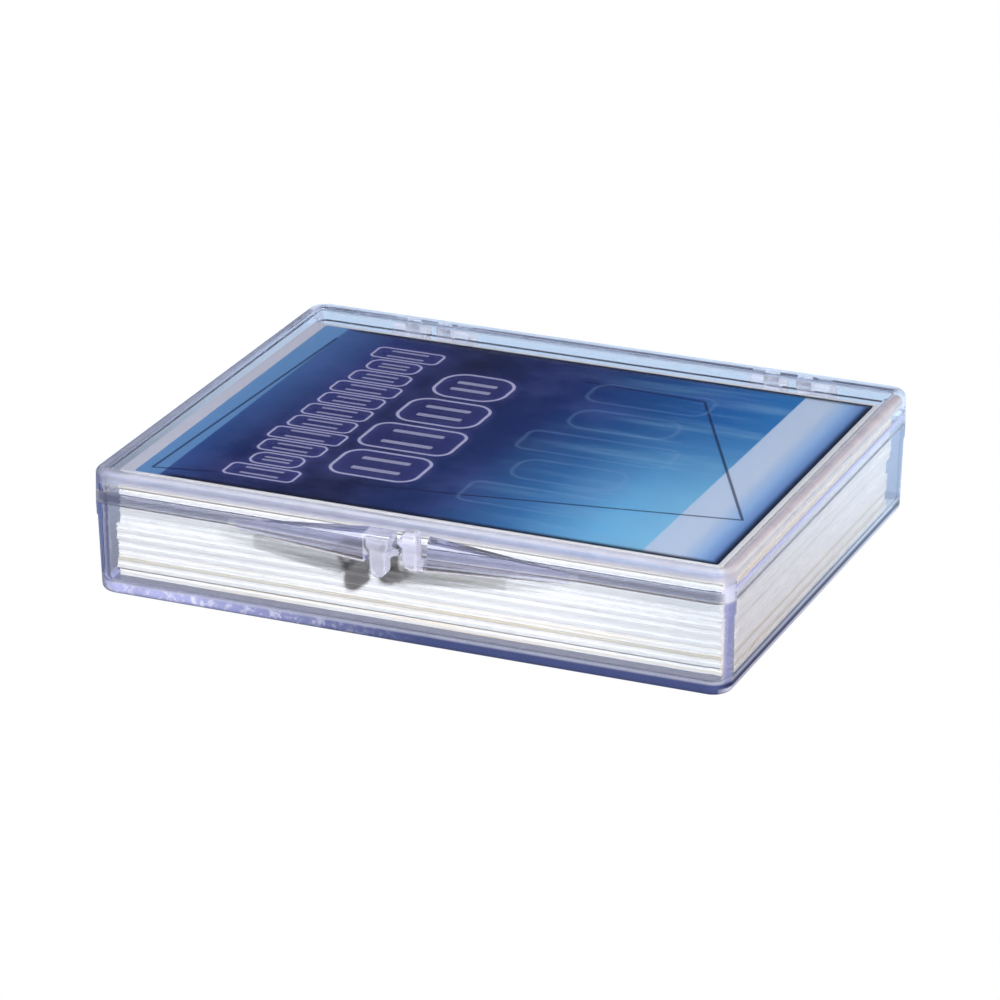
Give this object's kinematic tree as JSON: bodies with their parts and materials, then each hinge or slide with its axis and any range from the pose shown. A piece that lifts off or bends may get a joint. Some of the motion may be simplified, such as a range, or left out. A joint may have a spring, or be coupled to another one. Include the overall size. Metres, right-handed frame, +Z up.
{
  "type": "card deck box",
  "caption": "Clear hinged plastic box with a snap clasp and thumb ledge, holding a flat stack of collectable cards.",
  "frame": {"origin": "on the resting plane under the middle of the box's outline", "axes": "+X along the hinge axis, +Y towards the hinge side with the clasp at -Y, +Z up; the lid is closed"},
  "size_m": [0.0938, 0.0818, 0.0181],
  "materials": {
    "tray_plastic": "clear polystyrene, polished, faint blue tint",
    "lid_plastic": "clear polystyrene, polished, faint blue tint",
    "card_stock": "white coated card with cut edges",
    "printed_card": "glossy print in blues with a thin white border"
  },
  "bodies": {
    "tray_body": {"tray": "tray_plastic", "card_01": "card_stock", "card_02": "card_stock", "card_03": "card_stock", "card_04": "card_stock", "card_05": "card_stock", "card_06": "card_stock", "card_07": "card_stock", "card_08": "card_stock", "card_09": "card_stock", "card_10": "card_stock", "card_11": "card_stock", "card_12": "card_stock", "card_13": "card_stock", "card_14": "card_stock", "card_15": "card_stock", "card_16": "card_stock", "card_17": "card_stock", "card_18": "card_stock", "card_19": "card_stock", "card_20": "card_stock", "card_21": "card_stock", "card_22": "card_stock", "card_23": "card_stock", "card_24": "card_stock", "card_25": "card_stock", "card_26": "card_stock", "card_27": "card_stock", "card_28": "card_stock", "card_29": "card_stock", "card_30": "card_stock", "card_31": "card_stock", "card_32": "card_stock", "card_33": "card_stock", "card_34": "card_stock", "card_35": "card_stock", "card_36": "card_stock", "card_37": "card_stock", "card_38": "card_stock", "card_39": "card_stock", "card_40": "card_stock", "card_41": "card_stock", "card_42": "card_stock", "card_43": "card_stock", "card_44": "card_stock", "card_45": "card_stock", "card_46": "card_stock", "card_47": "card_stock", "card_48": "card_stock", "card_49": "card_stock", "cover_card": "printed_card"},
    "lid_body": {"lid": "lid_plastic"}
  },
  "joints": [
    {"name": "lid_hinge", "type": "hinge", "parent": "tray_body", "child": "lid_body", "pos_m": [0, 0.0393, 0.01345], "axis": [-1, 0, 0], "range_deg": [0, 180]}
  ]
}
